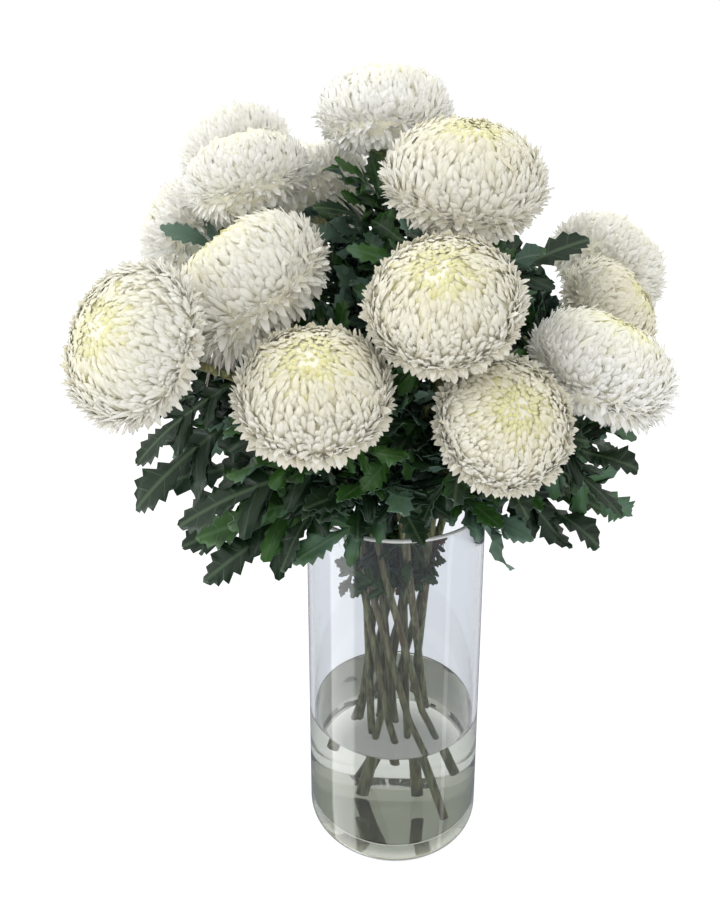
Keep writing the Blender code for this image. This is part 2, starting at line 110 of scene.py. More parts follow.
# Leaf tips that fill the gaps between the heads, by stem
GAP_LEAVES = {
    "01": [(-116, -95, 424), (-145, -75, 398), (-126, -85, 368), (-144, -60, 415)],
    "02": [(-8, -85, 437), (6, -95, 435), (25, -95, 429), (101, -60, 445), (20, 0, 402)],
    "04": [(-116, -80, 434), (-53, -30, 477), (-130, -80, 322), (-57, 10, 474), (-150, -30, 405)],
    "05": [(-131, -70, 381), (-184, -70, 381), (-147, -80, 266), (-182, -50, 322), (-146, -80, 386)],
    "06": [(-52, 0, 515), (-52, 20, 482)],
    "09": [(-60, 20, 580), (-21, 20, 586), (-3, 15, 572), (-41, 0, 545), (-36, 20, 519),
           (-26, -5, 528), (-5, 0, 538), (-36, -10, 503), (-53, 5, 524), (5, 20, 517), (-78, 20, 512),
           (-42, 14, 506)],
    "10": [(3, -30, 548), (22, -35, 539), (-36, -50, 481), (-40, -60, 460), (-18, 0, 499), (-28, 0, 526),
           (90, -20, 512), (107, -20, 487), (73, -30, 524), (89, -10, 530), (106, -20, 524)],
    "11": [(111, 10, 493), (118, 10, 477), (112, 20, 460)],
    "12": [(97, -20, 521), (103, -25, 475)],
    "13": [(130, -60, 389), (152, -50, 380), (165, -60, 291), (127, -80, 299), (163, -50, 360),
           (157, -70, 305)],
    "14": [(-37, 50, 516), (-54, 60, 502), (-33, 60, 490), (4, 50, 514), (-54, 50, 472),
           (-36, 30, 522), (2, 30, 518), (-64, 30, 524), (-66, 14, 489), (14, 24, 524)],
}
HEAD_ROOM = 0.97  # share of a head's radius that smaller leaves keep out of
SMALL_LEAVES = 12  # more on each stem
SMALL_REACH, SMALL_LOWEST = (215, 180), 240  # how far out along x and y and how low their tips may be
NECK_LEAVES_EACH = 2  # and in the vase's neck, besides those with tips here
NECK_REACH, NECK_LOWEST = 52, 219  # how far from the axis and how low their tips may be
NECK_TIPS = {"13": [(46, -26, 270), (50, 0, 256)], "03": [(38, -40, 262)], "12": [(40, 16, 250)]}

# Petals: those tried on each head, before the lowest are thinned out, and those of its crown
PETALS_EACH = 1560
YOUNG_EACH = 170
HIGHEST_PETAL = 68.0
PETAL_SWAY = 0.33  # radians to either side
PETAL_THICKNESS = 0.35  # half of it, mm
# How white each head is: 0 is creamy, 1 is clear white. This is partly the heads' own tone and partly painted
# light and shade: whiter for heads lit from above, creamier for heads in the shade of others
HEAD_TONE_AND_PAINTED_LIGHT = {"01": 0.0, "02": 0.0, "03": 0.1, "04": 0.5, "05": 0.5, "06": 0.9, "07": 1.0, "08": 1.0,
        "09": 1.4, "10": 0.1, "11": 0.7, "12": -0.35, "13": 1.4, "14": 0.9}
# How far the lowest petals of a head hang, set against the usual 1
SKIRT = {"01": 0.7, "04": 3.0, "02": 0.4, "03": 0.3, "05": 0.5, "10": 0.3}
# How much shorter the petals under a head are
TRIM = {"01": 0.58, "02": 0.55, "03": 0.42, "10": 0.15}

# Sides of the turned and swept bodies
VASE_SIDES, STALK_SIDES, CORE_SIDES = 144, 12, 20

# Camera: where it is, in metres, its tilt below the horizon, its focal length and its level line in pixels
CAMERA_AT = (-0.030, -0.632, 0.602)
CAMERA_TILT = 14.5
FOCAL_PIXELS, LEVEL_PIXEL, PICTURE_HEIGHT = 818.0, 340.0, 919.0
# Strength of the tall window that only glass and water mirror
WINDOW_LIGHT = 3.4


# Node helpers


class Nodes:
    """Short calls that add and link the nodes of a material or of the world."""

    def __init__(self, owner):
        owner.use_nodes = True
        self.owner = owner
        self.tree = owner.node_tree
        self.shader = self.tree.nodes.get("Principled BSDF")

    def add(self, kind, sockets=None, **values):
        made = self.tree.nodes.new(kind)
        for key, value in values.items():
            setattr(made, key, value)
        for socket, value in (sockets or {}).items():
            self.put(made, socket, value)
        return made

    def link(self, source, target):
        self.tree.links.new(source, target)

    def put(self, node, socket, value):
        """Links a socket, or sets it to a number or a colour."""
        if hasattr(value, "is_output"):
            self.link(value, node.inputs[socket])
        else:
            node.inputs[socket].default_value = (*value, 1.0) if isinstance(value, tuple) else value

    def surface(self, values):
        """Sets what is the same all over the surface on the shader's own sockets."""
        for socket, value in values.items():
            self.shader.inputs[socket].default_value = value

    def math(self, operation, a, b=0.0, clamp=False):
        return self.add("ShaderNodeMath", {0: a, 1: b}, operation=operation, use_clamp=clamp).outputs[0]

    def times(self, a, b):
        return self.math("MULTIPLY", a, b)

    def ramp(self, value, stops):
        made = self.add("ShaderNodeValToRGB", {0: value})
        while len(made.color_ramp.elements) < len(stops):
            made.color_ramp.elements.new(0.5)
        for element, (place, colour) in zip(made.color_ramp.elements, stops):
            element.position = place
            element.color = (*colour, 1.0)
        return made.outputs[0]

    def mix(self, amount, a, b, blend="MIX"):
        sockets = {0: amount, 6: a, 7: b}
        return self.add("ShaderNodeMix", sockets, data_type="RGBA", blend_type=blend).outputs[2]

    def map_range(self, value, low, high, to_low=0.0, to_high=1.0, kind="LINEAR"):
        sockets = {0: value, 1: low, 2: high, 3: to_low, 4: to_high}
        return self.add("ShaderNodeMapRange", sockets, interpolation_type=kind).outputs[0]

    def smooth(self, value, low, high):
        return self.map_range(value, low, high, kind="SMOOTHSTEP")

    def split(self, vector):
        return self.add("ShaderNodeSeparateXYZ", {0: vector}).outputs

    def place(self, kind="Object"):
        return self.add("ShaderNodeTexCoord").outputs[kind]

    def from_axis(self, x, y):
        return self.math("SQRT", self.math("ADD", self.times(x, x), self.times(y, y)))

    def uv(self, name):
        return self.split(self.add("ShaderNodeUVMap", uv_map=name).outputs[0])[:2]

    def noise(self, scale, detail=3.0, vector=None):
        sockets = {"Scale": scale, "Detail": detail, "Vector": self.place() if vector is None else vector}
        return self.add("ShaderNodeTexNoise", sockets).outputs[0]

    def bump(self, height, strength, distance):
        made = self.add("ShaderNodeBump", {"Strength": strength, "Distance": distance, "Height": height})
        self.put(self.shader, "Normal", made.outputs[0])


def new_material(name):
    return Nodes(bpy.data.materials.new(name))


# Materials


def petal_material(name, root, body, tip, crown):
    """Colour runs from root to tip of each petal, and towards the crown of the head."""
    n = new_material(name)
    along, across = n.uv("petal")
    height, chance = n.uv("head")
    colour = n.ramp(along, [(0.0, root), (0.42, root), (0.70, body), (1.0, tip)])
    in_crown = n.map_range(height, 0.50, 0.95)
    colour = n.mix(n.times(in_crown, 0.75), colour, crown)
    # Each head's creamy or white tint: partly its own tone, partly painted light and shade
    tone_and_painted_light = n.mix(chance, (0.90, 0.88, 0.82), (1.03, 1.04, 1.07))
    n.put(n.shader, "Base Color", n.mix(1.0, colour, tone_and_painted_light, "MULTIPLY"))
    ribs = n.math("SINE", n.times(across, 22.0))
    n.bump(n.math("ADD", ribs, n.noise(900.0)), 0.25, 0.0003)
    n.surface({
        "Roughness": 0.55, "Specular IOR Level": 0.25, "Sheen Weight": 0.45,
        "Subsurface Weight": 0.25, "Subsurface Radius": (1.0, 0.97, 0.90), "Subsurface Scale": 0.0015,
    })
    return n.owner


def leaf_material(name, low, middle, high, vein, roughness, vein_strength):
    """Three greens by the leaf's chance and a mottle, pale veins and the brown of withering."""
    n = new_material(name)
    x, y = n.uv("leaf")
    chance, withered = n.uv("lot")
    side = n.math("ABSOLUTE", y)
    midrib = n.map_range(side, 0.004, 0.016, 1.0, 0.0)
    # Side veins run forwards from the midrib into each lobe
    forward = n.math("SUBTRACT", x, n.times(side, 0.62))
    wave = n.math("ABSOLUTE", n.math("SINE", n.times(forward, 26.0)))
    lateral = n.map_range(wave, 0.0, 0.16, 0.65, 0.0)
    veins = n.math("MAXIMUM", midrib, lateral, clamp=True)
    mottle = n.noise(55.0, 4.0)
    blend = n.math("ADD", n.times(n.math("SUBTRACT", mottle, 0.5), 0.5), chance, clamp=True)
    colour = n.ramp(blend, [(0.0, low), (0.34, low), (0.50, middle), (0.66, middle), (0.88, high)])
    colour = n.mix(n.times(veins, vein_strength), colour, vein)
    colour = n.mix(withered, colour, n.mix(mottle, (0.15, 0.050, 0.024), (0.27, 0.15, 0.07)))
    n.put(n.shader, "Base Color", colour)
    fine = n.noise(420.0, 5.0)
    height = n.math("SUBTRACT", n.times(fine, 0.5), n.times(veins, 0.8))
    n.bump(height, 0.45, 0.0006)
    n.surface({"Roughness": roughness, "Specular IOR Level": 0.4})
    return n.owner


def stalk_material():
    """Green and brown patches under pale streaks along the stalk."""
    n = new_material("green_brown_stalk")
    stretch = n.add("ShaderNodeMapping", {"Vector": n.place()})
    stretch.inputs["Scale"].default_value = (1.0, 1.0, 0.12)
    streaks = n.noise(320.0, 4.0, stretch.outputs[0])
    patches = n.noise(26.0, 3.0)
    colour = n.mix(n.map_range(patches, 0.42, 0.58), (0.080, 0.115, 0.032), (0.130, 0.088, 0.040))
    colour = n.mix(n.map_range(streaks, 0.42, 0.66, 0.0, 0.9), colour, (0.33, 0.35, 0.17))
    n.put(n.shader, "Base Color", colour)
    n.bump(streaks, 0.5, 0.0008)
    n.surface({"Roughness": 0.5})
    return n.owner


def clear_material(name, colour, roughness, ior, transmission=1.0):
    n = new_material(name)
    n.bump(n.noise(14.0, 2.0), 0.05, 0.001)
    n.surface({
        "Base Color": (*colour, 1.0), "Roughness": roughness, "Transmission Weight": transmission, "IOR": ior,
    })
    return n.owner


# Mesh helpers


def mesh_object(name, points, quads, materials, uvs=None, slots=None, place=None, rims=None):
    """An object from points in mm. Edges between two points that are in rims are sharp."""
    mesh = bpy.data.meshes.new(name)
    points = np.array([tuple(p) for p in points], np.float64)
    if place is not None:
        points = points @ np.array(place.to_3x3()).T + np.array(place.translation) / TO_METRES
    quads = np.asarray(quads, np.int32)
    mesh.vertices.add(len(points))
    mesh.vertices.foreach_set("co", (points * TO_METRES).astype(np.float32).ravel())
    mesh.loops.add(quads.size)
    mesh.loops.foreach_set("vertex_index", quads.ravel())
    mesh.polygons.add(len(quads))
    mesh.polygons.foreach_set("loop_start", np.arange(0, quads.size, quads.shape[1], dtype=np.int32))
    mesh.polygons.foreach_set("use_smooth", np.ones(len(quads), bool))
    for made_of in materials:
        mesh.materials.append(made_of)
    if slots is not None:
        mesh.polygons.foreach_set("material_index", np.asarray(slots, np.int32))
    mesh.update(calc_edges=True)
    if rims is not None:
        ends = np.empty(len(mesh.edges) * 2, np.int32)
        mesh.edges.foreach_get("vertices", ends)
        sharp = np.asarray(rims)[ends.reshape(-1, 2)].all(axis=1)
        mesh.attributes.new("sharp_edge", "BOOLEAN", "EDGE").data.foreach_set("value", sharp)
    for layer, values in (uvs or {}).items():
        mesh.uv_layers.new(name=layer).data.foreach_set(
            "uv", np.asarray(values, np.float32)[quads.ravel()].ravel()
        )
    made = bpy.data.objects.new(name, mesh)
    bpy.context.scene.collection.objects.link(made)
    return made


def show_as(piece, node):
    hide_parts(node)
    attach(piece, "root")


def slab_faces(rows, columns):
    """Quads of a closed slab: an outer grid of rows x columns, then its inner grid."""
    each = rows * columns
    grid = np.arange(each).reshape(rows, columns)
    corners = [grid[:-1, :-1], grid[:-1, 1:], grid[1:, 1:], grid[1:, :-1]]
    outside = np.stack(corners, axis=-1).reshape(-1, 4)
    inside = outside[:, [0, 3, 2, 1]] + each
    loop = np.concatenate([grid[0, :-1], grid[:-1, -1], grid[-1, :0:-1], grid[:0:-1, 0]])
    after = np.roll(loop, -1)
    return outside, inside, np.stack([after, loop, loop + each, after + each], axis=-1)


def tube_faces(rows, sides):
    """Quads of a tube of rings, from one ring to the next."""
    quads = []
    for low in range(0, (rows - 1) * sides, sides):
        for i in range(sides):
            j = (i + 1) % sides
            quads.append((low + i, low + j, low + sides + j, low + sides + i))
    return quads


def turned_body(rings, sides):
    turns = [2 * math.pi * i / sides for i in range(sides)]
    points = [(r * math.cos(a), r * math.sin(a), z) for r, z in rings for a in turns]
    return points, tube_faces(len(rings), sides)


def lathe(name, profile, materials, slots=None):
    """A closed body of revolution, with very small faces where it meets the axis."""
    rings = [(0.02 if radius == 0 else radius, z) for radius, z in profile]
    points, quads = turned_body(rings, VASE_SIDES)
    if slots is not None:
        slots = [slots(min(points[i][2] for i in quad)) for quad in quads]
    piece = mesh_object(name, points, quads, materials, slots=slots)
    close_ends(piece, VASE_SIDES, len(rings))
    return piece


def close_ends(piece, sides, rows):
    """Adds the two end faces that a tube of quads leaves open."""
    shape = bmesh.new()
    shape.from_mesh(piece.data)
    shape.verts.ensure_lookup_table()
    shape.faces.new([shape.verts[i] for i in reversed(range(sides))])
    shape.faces.new([shape.verts[(rows - 1) * sides + i] for i in range(sides)])
    shape.to_mesh(piece.data)
    shape.free()


def arc(centre, radius, start, end, steps):
    turns = [math.radians(start + (end - start) * i / steps) for i in range(steps + 1)]
    return [(centre[0] + radius * math.cos(a), centre[1] + radius * math.sin(a)) for a in turns]


# The CAD's rules for stems and leaves


def sheaf_point(ring, turn, z):
    """Where a stem of the twisted sheaf is at a height."""
    waist, spread = (OUTER_WAIST, OUTER_SPREAD) if ring == "outer" else (INNER_WAIST, INNER_SPREAD)
    lean = spread * (z - WAIST_Z)
    facing = math.radians(turn) + math.atan2(spread * (STRAIGHT_TO - WAIST_Z), waist)
    across = Vector((math.cos(facing), math.sin(facing), 0))
    along = Vector((math.sin(facing), -math.cos(facing), 0))
    return across * waist + along * lean + Vector((0, 0, z))


def heights_of(key):
    share = FLATTER.get(key, 1.0)
    return RISE * share, FALL * share


def stem_path(key, steps=BOW_STEPS, straight=1):
    """A stem's centre line: straight in the vase, then a curve into its head."""
    centre, axis, diameter, ring, turn = HEADS[key]
    axis = Vector(axis).normalized()
    foot, bend = (sheaf_point(ring, turn, z) for z in (FEET.get(key, BASE + GAP), STRAIGHT_TO))
    top = Vector(centre) - axis * (heights_of(key)[1] * diameter / 2 + 5)
    reach = (top - bend).length
    first = bend + (bend - foot).normalized() * reach * 0.40
    second = top - axis * reach * 0.33
    if straight == 1:
        path = [foot, sheaf_point(ring, turn, WAIST_Z)]
    else:
        path = [foot.lerp(bend, i / straight) for i in range(straight)]
    for i in range(steps + 1):
        t = i / steps
        path.append(
            bend * (1 - t) ** 3 + first * 3 * t * (1 - t) ** 2
            + second * 3 * t * t * (1 - t) + top * t**3
        )
    return path, axis


def frames_along(path):
    """The direction of a path at each of its points, and a side without twist."""
    neighbours = zip(path[:1] + path[:-1], path[1:] + path[-1:])
    directions = [(after - before).normalized() for before, after in neighbours]
    side = directions[0].orthogonal().normalized()
    frames = []
    for direction in directions:
        side = (side - direction * side.dot(direction)).normalized()
        frames.append((direction, side))
    return frames


def head_surface(key, radius, angle):
    """Distance from the head's axis and height above its middle."""
    a = math.radians(angle)
    tall = heights_of(key)[0 if angle > 0 else 1]
    return radius * math.cos(a) ** FULLNESS, radius * tall * math.sin(a)


def leaf_axes(root, tip, roll):
    """A leaf's direction at its root, its sides, its upper face and its length along the bend."""
    chord = tip - root
    sky = Vector((0, -LEAF_FACING if tip.y < 30 else LEAF_FACING, 1)).normalized()
    upper = sky - chord.normalized() * chord.normalized().dot(sky)
    if upper.length < 0.2:
        upper = Vector((chord.y, -chord.x, 0.2))
    upper.normalize()
    across = upper.cross(chord).normalized()
    start = Matrix.Rotation(-LEAF_BEND / 2, 3, across) @ chord.normalized()
    length = chord.length * (LEAF_BEND / 2) / math.sin(LEAF_BEND / 2)
    across = Matrix.Rotation(roll, 3, chord.normalized()) @ across
    upper = start.cross(across).normalized()
    across = upper.cross(start).normalized()
    return start, across, upper, length


def leaf_point(root, axes, x, y, lift):
    """A point of a leaf: x along and y across for a length of 1, lift above its face in mm."""
    start, across, upper, length = axes
    a = LEAF_BEND * x
    along = length * math.sin(a) / LEAF_BEND
    drop = length * (1 - math.cos(a)) / LEAF_BEND
    fold = 0.20 * abs(y) * length - 0.9 * length * y * y
    bent = upper * math.cos(a) + start * math.sin(a)
    return root + start * along - upper * drop + across * y * length + bent * (fold + lift)


def turned(root, tip, yaw, pitch, shorten):
    """A leaf's tip, turned about its root and brought nearer."""
    chord = (tip - root) * shorten
    level = Vector((chord.y, -chord.x, 0))
    if level.length < 1e-6:
        level = Vector((1, 0, 0))
    chord = Matrix.Rotation(math.radians(pitch), 3, level.normalized()) @ chord
    return root + Matrix.Rotation(math.radians(yaw), 3, "Z") @ chord


def tries():
    """Turns and shortenings of a leaf, from the least change to the most."""
    found = [
        (abs(yaw) + abs(pitch) + 90 * (1 - shorten) + 14 * abs(roll), yaw, pitch, shorten, roll)
        for shorten in (1.0, 0.88, 0.76) for yaw in range(-56, 57, 8)
        for pitch in range(-48, 49, 8) for roll in (0.0, 0.5, -0.5)
    ]
    return [row[1:] for row in sorted(found)]


TRIES = tries()


def leaf_root(path, tip, wanted, taken):
    """The place above the vase on a stem that suits a leaf's tip best, apart from other leaves."""
    best = None
    for i in range(2, len(path) - 2):
        for t in (0.0, 0.33, 0.67):
            place = path[i].lerp(path[i + 1], t)
            if place.z < STRAIGHT_TO - 4:
                continue
            cost = abs((tip - place).length - wanted) + 0.25 * max(0.0, place.z - tip.z)
            cost += sum(30.0 * max(0.0, 1.0 - (place - other).length / 16.0) for other in taken)
            if best is None or cost < best[0]:
                best = (cost, place)
    return best[1]


def wanted_leaves(key, path):
    """Roots and tips of the CAD's leaves before they are turned clear of all else."""
    found = []
    for i, tip in enumerate(LEAF_TIPS.get(key, [])):
        tip = Vector(tip)
        taken = [root for root, _ in found]
        found.append((leaf_root(path, tip, 92.0 - 6.0 * (i % 3), taken), tip))
    for tip in NECK_LEAVES.get(key, []):
        found.append((path[1].lerp(path[2], 0.4), Vector(tip)))
    for i in range(FILLER_LEAVES.get(key, MOST_FILLERS)):
        at = 3 + i * (len(path) - 6) / 4.0
        low = int(at)
        root = path[low].lerp(path[low + 1], at - low)
        turn = math.radians(GOLDEN_ANGLE * i + 60.0 * int(key))
        found.append((root, root + outwards(root, turn, 0.15, 0.8) * (92.0 - 5.0 * i)))
    return found


def outwards(root, turn, rise, away):
    """A direction at a turn around the stem, drawn away from the bouquet's axis."""
    out = Vector((math.cos(turn), math.sin(turn), rise))
    return (out + Vector((root.x, root.y, 0)).normalized() * away).normalized()


def limited(root, tip):
    low, high = LEAF_LENGTHS
    chord = tip - root
    return root + chord.normalized() * min(max(chord.length, low), high)


CAD_LOBE = (0.60, 0.245)
SAME_PLACE = 0.06  # mm


def leaves_of(key):
    """Root, tip and roll of a stem's leaves: of the rule's turns, those where the CAD has its tips."""
    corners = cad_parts["stem_" + key].data.vertices
    tree = KDTree(len(corners))
    for i, vertex in enumerate(corners):
        tree.insert(vertex.co * TO_MM, i)
    tree.balance()
    path, _ = stem_path(key)
    found = []
    for root, tip in wanted_leaves(key, path):
        tip = limited(root, tip)
        for yaw, pitch, shorten, roll in TRIES:
            end = turned(root, tip, yaw, pitch, shorten)
            axes = leaf_axes(root, end, roll)
            far = leaf_point(root, axes, 1.0, 0.0, LEAF_THICKNESS / 2)
            if tree.find(far)[2] > SAME_PLACE:
                continue
            lobe = leaf_point(root, axes, *CAD_LOBE, LEAF_THICKNESS / 2)
            if tree.find(lobe)[2] < SAME_PLACE:
                found.append((root, end, roll))
                break
    return found


# Petals

# A petal's rows: how far along, how wide, and its three columns
ALONG = np.array([0.0, 0.36, 0.66, 0.88, 1.0])
ALONG_WIDTH = np.array([0.45, 0.90, 1.0, 0.80, 0.24])
ACROSS = np.array([-1.0, 0.0, 1.0])


def petal_faces():
    """Quads of one closed petal: two skins of 3 points across that share their edges."""
    rows = len(ALONG)
    front = np.arange(rows * 3).reshape(rows, 3)
    back = front.copy()
    back[1:-1, 1] = rows * 3 + np.arange(rows - 2)
    quads = []
    for i in range(rows - 1):
        for j in range(2):
            quads.append((front[i, j], front[i, j + 1], front[i + 1, j + 1], front[i + 1, j]))
            quads.append((back[i, j], back[i + 1, j], back[i + 1, j + 1], back[i, j + 1]))
    rim = np.ones(rows * 3 + rows - 2, bool)
    rim[[*front[1:-1, 1], *back[1:-1, 1]]] = False
    return np.array(quads), rim


PETAL_QUADS, PETAL_RIM = petal_faces()


def petal_shape(lengths, first, last):
    """Each petal's centre line in the plane of outward and crownward directions, and its heading."""
    steps = 20
    s = np.linspace(0, 1, steps + 1)
    heading = first[:, None] + (last - first)[:, None] * s[None, :] ** 1.25
    at = (ALONG * steps).round().astype(int)
    anchor = int(0.66 * steps)  # the point that is set on the head

    def gone(step):
        far = np.concatenate([np.zeros((len(lengths), 1)), np.cumsum(step, 1)], 1)
        return ((far - far[:, anchor:anchor + 1]) * (lengths[:, None] / steps))[:, at]

    return gone(np.cos(heading[:, 1:])), gone(np.sin(heading[:, 1:])), heading[:, at]


def petal_mesh(key, draws, angles, turns, radius, width, lengths, first, last, droop, cup, height_of):
    """Closed petals in the head's own axes: points, quads and the values of two UV maps."""
    count = len(angles)
    a = np.radians(angles)
    tall = np.where(angles > 0, *heights_of(key))
    distance = radius * np.cos(a) ** FULLNESS
    level = radius * tall * np.sin(a)
    slope_r = -radius * FULLNESS * np.cos(a) ** (FULLNESS - 1) * np.sin(a)
    slope_z = radius * tall * np.cos(a)
    size = np.hypot(slope_r, slope_z)
    slope_r, slope_z = slope_r / size, slope_z / size
    ring = np.stack([np.cos(turns), np.sin(turns), np.zeros(count)], 1)
    around = np.stack([-np.sin(turns), np.cos(turns), np.zeros(count)], 1)
    up_axis = np.array([0.0, 0.0, 1.0])
    crownward = ring * slope_r[:, None] + up_axis * slope_z[:, None]
    outward = ring * slope_z[:, None] - up_axis * slope_r[:, None]
    sway = draws.normal(0, PETAL_SWAY, count)[:, None]
    crownward, around = (
        crownward * np.cos(sway) - around * np.sin(sway),
        around * np.cos(sway) + crownward * np.sin(sway),
    )
    base = ring * distance[:, None] + up_axis * level[:, None]
    out, up, heading = petal_shape(lengths, first, last)
    half = width[:, None] / 2 * ALONG_WIDTH[None, :]

    def in_its_plane(out, up):
        return outward[:, None, :] * out[..., None] + crownward[:, None, :] * up[..., None]

    centre = base[:, None, :] + in_its_plane(out, up)
    back = in_its_plane(np.sin(heading), -np.cos(heading))
    points = (
        centre[:, :, None, :]
        + around[:, None, None, :] * (half[:, :, None] * ACROSS)[..., None]
        - back[:, :, None, :] * (cup[:, None, None] * half[:, :, None] * ACROSS * ACROSS)[..., None]
    )
    fall = np.clip((ALONG - 0.35) / 0.65, 0, 1) ** 1.6
    points = points + droop[:, None, None, :] * fall[None, :, None, None]
    offset = back * PETAL_THICKNESS
    front_skin = points + offset[:, :, None, :] * (ACROSS == 0)[None, None, :, None]
    back_skin = points[:, 1:-1, 1, :] - offset[:, 1:-1, :]
    skins = np.concatenate([front_skin.reshape(count, -1, 3), back_skin], axis=1)
    per = skins.shape[1]
    quads = (PETAL_QUADS[None] + (np.arange(count) * per)[:, None, None]).reshape(-1, 4)
    along = np.concatenate([np.repeat(ALONG, 3), ALONG[1:-1]])
    across = np.concatenate([np.tile(ACROSS, len(ALONG)), np.zeros(len(ALONG) - 2)])
    along_uv = np.tile(np.stack([along, across], 1), (count, 1))
    high = np.repeat(height_of, per)
    # The head's whiteness, partly its own tone and partly painted light and shade
    chance = np.repeat(0.65 * HEAD_TONE_AND_PAINTED_LIGHT[key] + 0.35 * draws.random(count), per)
    return skins.reshape(-1, 3), quads, along_uv, np.stack([high, chance], -1)


def head_matrix(head):
    """From a head's own axes, with its middle at 0 and its axis along z, to the bouquet's."""
    centre, axis = Vector(head[0]) * TO_METRES, Vector(head[1]).normalized()
    side = (Vector((1, 0, 0)) - axis * axis.x).normalized()
    other = axis.cross(side)
    turn = Matrix((side, other, axis)).transposed()
    return Matrix.Translation(centre) @ turn.to_4x4()


def spread_over(low, high, count, draws):
    """Angles above the equator and turns of evenly spread petals, a golden angle apart."""
    s = (np.arange(count) + 0.5) / count
    sine = math.sin(math.radians(low)) + s * (math.sin(math.radians(high)) - math.sin(math.radians(low)))
    angles = np.degrees(np.arcsin(sine)) + draws.normal(0, 1.8, count)
    turns = np.arange(count) * math.radians(GOLDEN_ANGLE) + draws.normal(0, 0.07, count)
    return np.clip(angles, low, high), turns


def white_petals(key, head, material):
    """The petals below a head's crown."""
    draws = np.random.default_rng(100 + int(key))
    radius = head[2] / 2
    angles, turns = spread_over(SEAT_ANGLE, HIGHEST_PETAL, PETALS_EACH, draws)
    kept = draws.random(PETALS_EACH) < np.interp(angles, [SEAT_ANGLE, -20], [0.4, 1.0])
    angles, turns = angles[kept], turns[kept]
    count = len(angles)
    knots = [SEAT_ANGLE, -50, -33, -15, 10, HIGHEST_PETAL]
    fewer = [SEAT_ANGLE, -30, 0, HIGHEST_PETAL]

    def by_angle(*values, at=knots):
        """Each petal's value, between those given from the seat to the crown."""
        return np.interp(angles, at, values)

    first = np.radians(by_angle(-34, -16, 4, 22, 38, 46) + draws.normal(0, 12, count))
    last = by_angle(-40, -6, 30, 56, 80, 108)
    last = np.radians(last + draws.normal(0, 1, count) * by_angle(18, 28, 22, 14, at=fewer))
    lengths = radius * by_angle(0.26, 0.31, 0.36, 0.40, 0.42, 0.36)
    lengths = lengths * (1.0 + draws.normal(0, 1, count) * by_angle(0.30, 0.14, at=[-50, -10]))
    lengths = lengths * (1.0 - TRIM.get(key, 0.0) * by_angle(1.0, 0.0, at=[-45, -5]))
    lengths = np.clip(lengths, radius * 0.12, radius * 0.55)
    width = radius * by_angle(0.106, 0.103, 0.094, 0.084, 0.080, 0.075)
    width = width * draws.normal(1.0, 0.14, count)
    cup = draws.normal(0.35, 0.15, count)
    down = head_matrix(head).to_3x3().transposed() @ Vector((0, 0, -1))
    lower_side = np.clip(np.cos(turns) * down.x + np.sin(turns) * down.y, 0, 1)
    hang = radius * SKIRT.get(key, 1.0) * by_angle(0.05, 0.07, 0.0, at=[SEAT_ANGLE, -30, 20])
    hang = hang * (0.3 + 1.6 * lower_side) * draws.uniform(0.2, 1.6, count)
    droop = np.array(down)[None, :] * hang[:, None]
    height = by_angle(0.0, 0.85, at=[SEAT_ANGLE, HIGHEST_PETAL])
    reach = radius * by_angle(0.84, 0.87, 0.91, 0.91, at=fewer)
    points, quads, along, high = petal_mesh(
        key, draws, angles, turns, reach, width, lengths, first, last, droop, cup, height
    )
    core, core_quads = head_core(key, radius)
    rims = np.concatenate([np.tile(PETAL_RIM, count), np.zeros(len(core), bool)])
    quads = np.concatenate([quads, core_quads + len(points)])
    points = np.concatenate([points, core])
    along = np.concatenate([along, np.tile([0.0, 0.0], (len(core), 1))])
    high = np.concatenate([high, np.tile([0.3, 0.5], (len(core), 1))])
    piece = mesh_object(
        "petals_" + key, points, quads, [material], {"petal": along, "head": high},
        place=head_matrix(head), rims=rims,
    )
    show_as(piece, "bloom_" + key)


def head_core(key, radius):
    """The close-packed inner petals: a cream body deep between the outer ones."""
    rows = []
    for i in range(11):
        angle = -70 + 15.2 * i
        inner = float(np.interp(angle, [45, 80], [0.88, 0.86]))
        rows.append(head_surface(key, radius * inner, angle))
    rows = [(0.3, rows[0][1] + 0.5)] + rows + [(0.3, rows[-1][1])]
    points, quads = turned_body(rows, CORE_SIDES)
    last = (len(rows) - 1) * CORE_SIDES
    end = [(k, k - 1, CORE_SIDES - k, CORE_SIDES - 1 - k) for k in range(1, CORE_SIDES // 2)]
    quads += end + [(last + b, last + a, last + d, last + c) for a, b, c, d in end]
    return np.array(points), np.array(quads)


def young_petals(key, head, material):
    """The petals of a head's crown."""
    draws = np.random.default_rng(300 + int(key))
    radius = head[2] / 2
    count = YOUNG_EACH
    angles, turns = spread_over(58.0, 88.8, count, draws)
    first = np.radians(np.interp(angles, [60, 80, 88], [44, 24, 0]) + draws.normal(0, 8, count))
    last = np.radians(np.interp(angles, [60, 80, 88], [114, 98, 60]) + draws.normal(0, 12, count))
    lengths = radius * np.interp(angles, [60, 80, 88], [0.30, 0.22, 0.17]) * draws.normal(1.0, 0.1, count)
    width = radius * np.interp(angles, [60, 88], [0.085, 0.070]) * draws.normal(1.0, 0.1, count)
    cup = draws.normal(0.45, 0.1, count)
    droop = np.zeros((count, 3))
    height = np.interp(angles, [60, 88], [0.0, 1.0])
    points, quads, along, high = petal_mesh(
        key, draws, angles, turns, radius * 0.90, width, lengths, first, last, droop, cup, height
    )
    from_axis = np.hypot(points[:, 0], points[:, 1]) / radius
    # The middle of the crown is sunk a little
    points[:, 2] -= radius * 0.05 * np.exp(-((from_axis / 0.17) ** 2))
    piece = mesh_object(
        "young_petals_" + key, points, quads, [material], {"petal": along, "head": high},
        place=head_matrix(head), rims=np.tile(PETAL_RIM, count),
    )
    show_as(piece, "heart_" + key)


# Leaves and stalks

